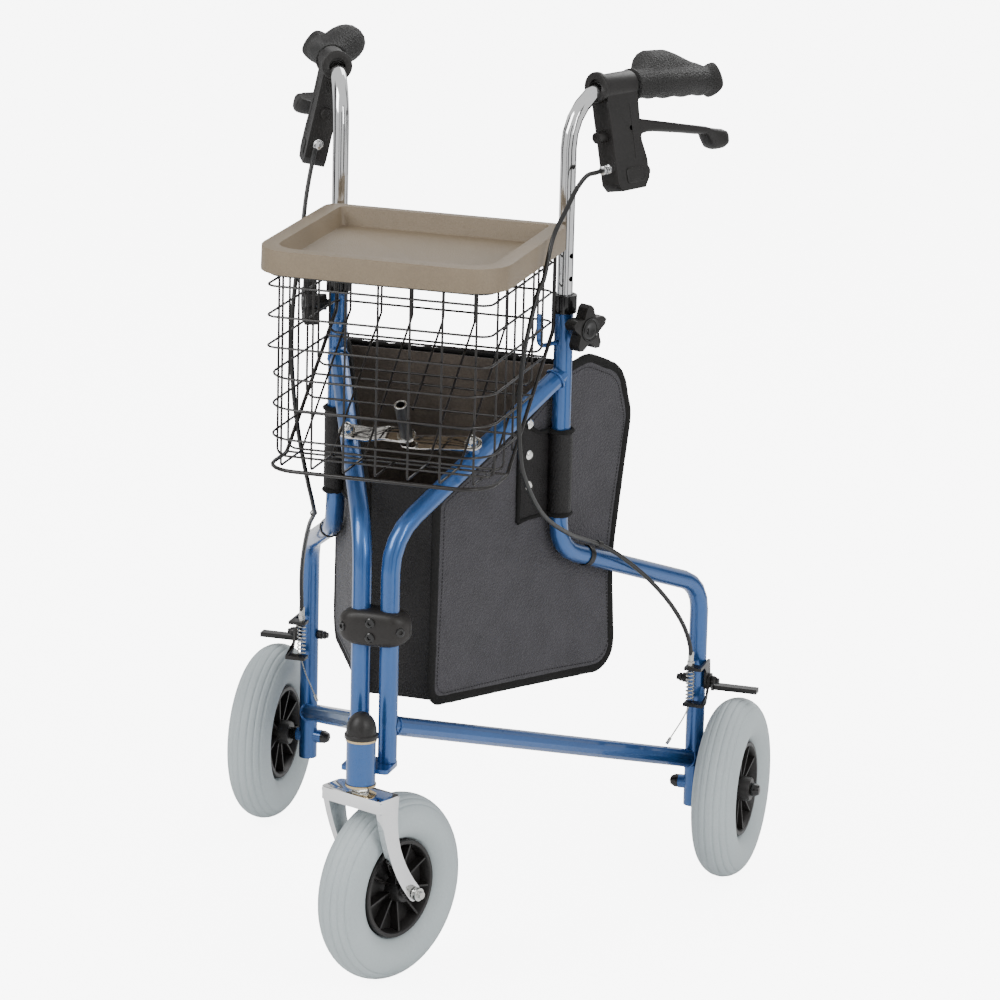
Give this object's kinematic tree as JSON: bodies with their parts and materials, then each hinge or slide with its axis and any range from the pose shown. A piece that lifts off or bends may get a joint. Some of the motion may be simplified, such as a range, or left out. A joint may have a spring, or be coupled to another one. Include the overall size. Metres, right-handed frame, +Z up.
{
  "type": "three-wheeled rollator walker",
  "caption": "Folding three-wheeled walker with swivelling front caster, hand brakes, height-adjustable grips, lift-off wire basket and tray, and a soft bag between the side frames.",
  "frame": {"origin": "on the floor, under the middle of the open walker", "axes": "+Z up, the walker rolls towards -Y, +X is the user's left"},
  "size_m": [0.6182, 0.6425, 0.9436],
  "materials": {
    "blue_paint": "glossy metallic paint",
    "chrome": "polished",
    "zinc": "zinc plated",
    "black_plastic": "satin",
    "black_steel": "satin black coating",
    "grip_rubber": "stippled",
    "tyre": "matte pale blue-grey",
    "tray_plastic": "fine pebbled",
    "basket_wire": "plastic-coated wire",
    "bag_vinyl": "coated cloth"
  },
  "bodies": {
    "front_head": {"head_tube": "blue_paint", "head_bearing_upper": "zinc", "head_bearing_lower": "zinc", "dome_cap": "black_plastic", "hinge_block_front": "black_plastic", "hinge_block_rear": "black_plastic", "bag_gusset": "bag_vinyl"},
    "caster": {"fork": "chrome", "caster_stem": "zinc", "front_axle": "zinc"},
    "front_wheel": {"front_tyre": "tyre", "front_rim": "black_plastic"},
    "left_frame": {"left_rear_tube": "blue_paint", "left_front_tube": "blue_paint", "left_lower_bar": "blue_paint", "left_collar": "black_plastic", "left_basket_hook": "blue_paint", "left_bag_panel": "bag_vinyl", "left_rear_axle": "black_steel", "left_brake_bracket": "black_steel", "left_brake_spring": "zinc", "left_brake_cable": "grip_rubber"},
    "right_frame": {"right_rear_tube": "blue_paint", "right_front_tube": "blue_paint", "right_lower_bar": "blue_paint", "right_collar": "black_plastic", "right_basket_hook": "blue_paint", "right_bag_panel": "bag_vinyl", "right_rear_axle": "black_steel", "right_brake_bracket": "black_steel", "right_brake_spring": "zinc", "right_brake_cable": "grip_rubber"},
    "basket": {"basket": "basket_wire"},
    "tray": {"tray": "tray_plastic"},
    "left_wheel": {"left_wheel_tyre": "tyre", "left_wheel_rim": "black_plastic"},
    "left_handle": {"left_handle_tube": "chrome", "left_grip": "grip_rubber", "left_brake_housing": "black_plastic"},
    "left_lever": {"left_brake_lever": "black_plastic"},
    "left_knob": {"left_knob": "black_plastic"},
    "left_brake_arm": {"left_brake_arm": "black_steel"},
    "left_link": {"left_brace_link": "zinc"},
    "right_wheel": {"right_wheel_tyre": "tyre", "right_wheel_rim": "black_plastic"},
    "right_handle": {"right_handle_tube": "chrome", "right_grip": "grip_rubber", "right_brake_housing": "black_plastic"},
    "right_lever": {"right_brake_lever": "black_plastic"},
    "right_knob": {"right_knob": "black_plastic"},
    "right_brake_arm": {"right_brake_arm": "black_steel"},
    "right_link": {"right_brace_link": "zinc", "finger_grip": "grip_rubber"}
  },
  "joints": [
    {"name": "left_fold", "type": "hinge", "parent": "front_head", "child": "left_frame", "pos_m": [0.0156, -0.2264, 0.389], "axis": [0, 0, 1], "range_deg": [0, 19], "deforming": ["bag_gusset"]},
    {"name": "right_fold", "type": "hinge", "parent": "front_head", "child": "right_frame", "pos_m": [-0.0156, -0.2264, 0.389], "axis": [0, 0, 1], "range_deg": [-19.01, 0]},
    {"name": "caster_swivel", "type": "hinge", "parent": "front_head", "child": "caster", "pos_m": [0, -0.2664, 0.2523], "axis": [0, 0, 1], "continuous": true},
    {"name": "front_wheel_spin", "type": "hinge", "parent": "caster", "child": "front_wheel", "pos_m": [0.0182, -0.2209, 0.1016], "axis": [0.9285, -0.3714, 0], "continuous": true},
    {"name": "basket_lift", "type": "slide", "parent": "front_head", "child": "basket", "axis": [0, 0, 1], "range_m": [0, 0.22]},
    {"name": "tray_lift", "type": "slide", "parent": "basket", "child": "tray", "axis": [0, 0, 1], "range_m": [0, 0.05]},
    {"name": "left_wheel_spin", "type": "hinge", "parent": "left_frame", "child": "left_wheel", "pos_m": [0.27513, 0.22399, 0.1016], "axis": [1, 0, 0], "continuous": true},
    {"name": "left_handle_height", "type": "slide", "parent": "left_frame", "child": "left_handle", "axis": [0, 0, 1], "range_m": [-0.075, 0.075], "deforming": ["left_brake_cable"]},
    {"name": "left_lever_squeeze", "type": "hinge", "parent": "left_handle", "child": "left_lever", "pos_m": [0.16853, 0.0696, 0.8771], "axis": [0.8829, -0.4211, 0.2079], "range_deg": [0, 11], "stiffness_Nm_per_rad": 0.8, "springref_deg": -8.59},
    {"name": "left_knob_turn", "type": "hinge", "parent": "left_frame", "child": "left_knob", "pos_m": [0.1271, 0.00737, 0.6735], "axis": [0.9026, -0.4305, 0], "continuous": true},
    {"name": "left_brake_arm_swing", "type": "hinge", "parent": "left_frame", "child": "left_brake_arm", "pos_m": [0.23043, 0.22399, 0.2245], "axis": [1, 0, 0], "range_deg": [-10, 0], "deforming": ["left_brake_spring"]},
    {"name": "left_link_swing", "type": "hinge", "parent": "left_frame", "child": "left_link", "pos_m": [0.06941, -0.12228, 0.56585], "axis": [0, -0.4973, 0.8676], "range_deg": [-85.1, 0]},
    {"name": "right_wheel_spin", "type": "hinge", "parent": "right_frame", "child": "right_wheel", "pos_m": [-0.27513, 0.22399, 0.1016], "axis": [1, 0, 0], "continuous": true},
    {"name": "right_handle_height", "type": "slide", "parent": "right_frame", "child": "right_handle", "axis": [0, 0, 1], "range_m": [-0.075, 0.075], "deforming": ["right_brake_cable"]},
    {"name": "right_lever_squeeze", "type": "hinge", "parent": "right_handle", "child": "right_lever", "pos_m": [-0.16853, 0.0696, 0.8771], "axis": [0.8829, 0.4211, -0.2079], "range_deg": [0, 11], "stiffness_Nm_per_rad": 0.8, "springref_deg": -8.59},
    {"name": "right_knob_turn", "type": "hinge", "parent": "right_frame", "child": "right_knob", "pos_m": [-0.1271, 0.00737, 0.6735], "axis": [-0.9026, -0.4305, 0], "continuous": true},
    {"name": "right_brake_arm_swing", "type": "hinge", "parent": "right_frame", "child": "right_brake_arm", "pos_m": [-0.23043, 0.22399, 0.2245], "axis": [1, 0, 0], "range_deg": [-10, 0], "deforming": ["right_brake_spring"]},
    {"name": "right_link_swing", "type": "hinge", "parent": "right_frame", "child": "right_link", "pos_m": [-0.06941, -0.12228, 0.56585], "axis": [0, -0.4973, 0.8676], "range_deg": [0, 85.1]}
  ],
  "couplings": [
    {"joint": "right_fold", "follows": "left_fold", "ratio": -1},
    {"joint": "basket_lift", "follows": "left_fold", "m_per_rad": 0.66},
    {"joint": "left_brake_arm_swing", "follows": "left_lever_squeeze", "ratio": -0.9},
    {"joint": "left_link_swing", "follows": "left_fold", "ratio": -4.4737},
    {"joint": "right_brake_arm_swing", "follows": "right_lever_squeeze", "ratio": -0.9},
    {"joint": "right_link_swing", "follows": "left_fold", "ratio": 4.4737}
  ]
}
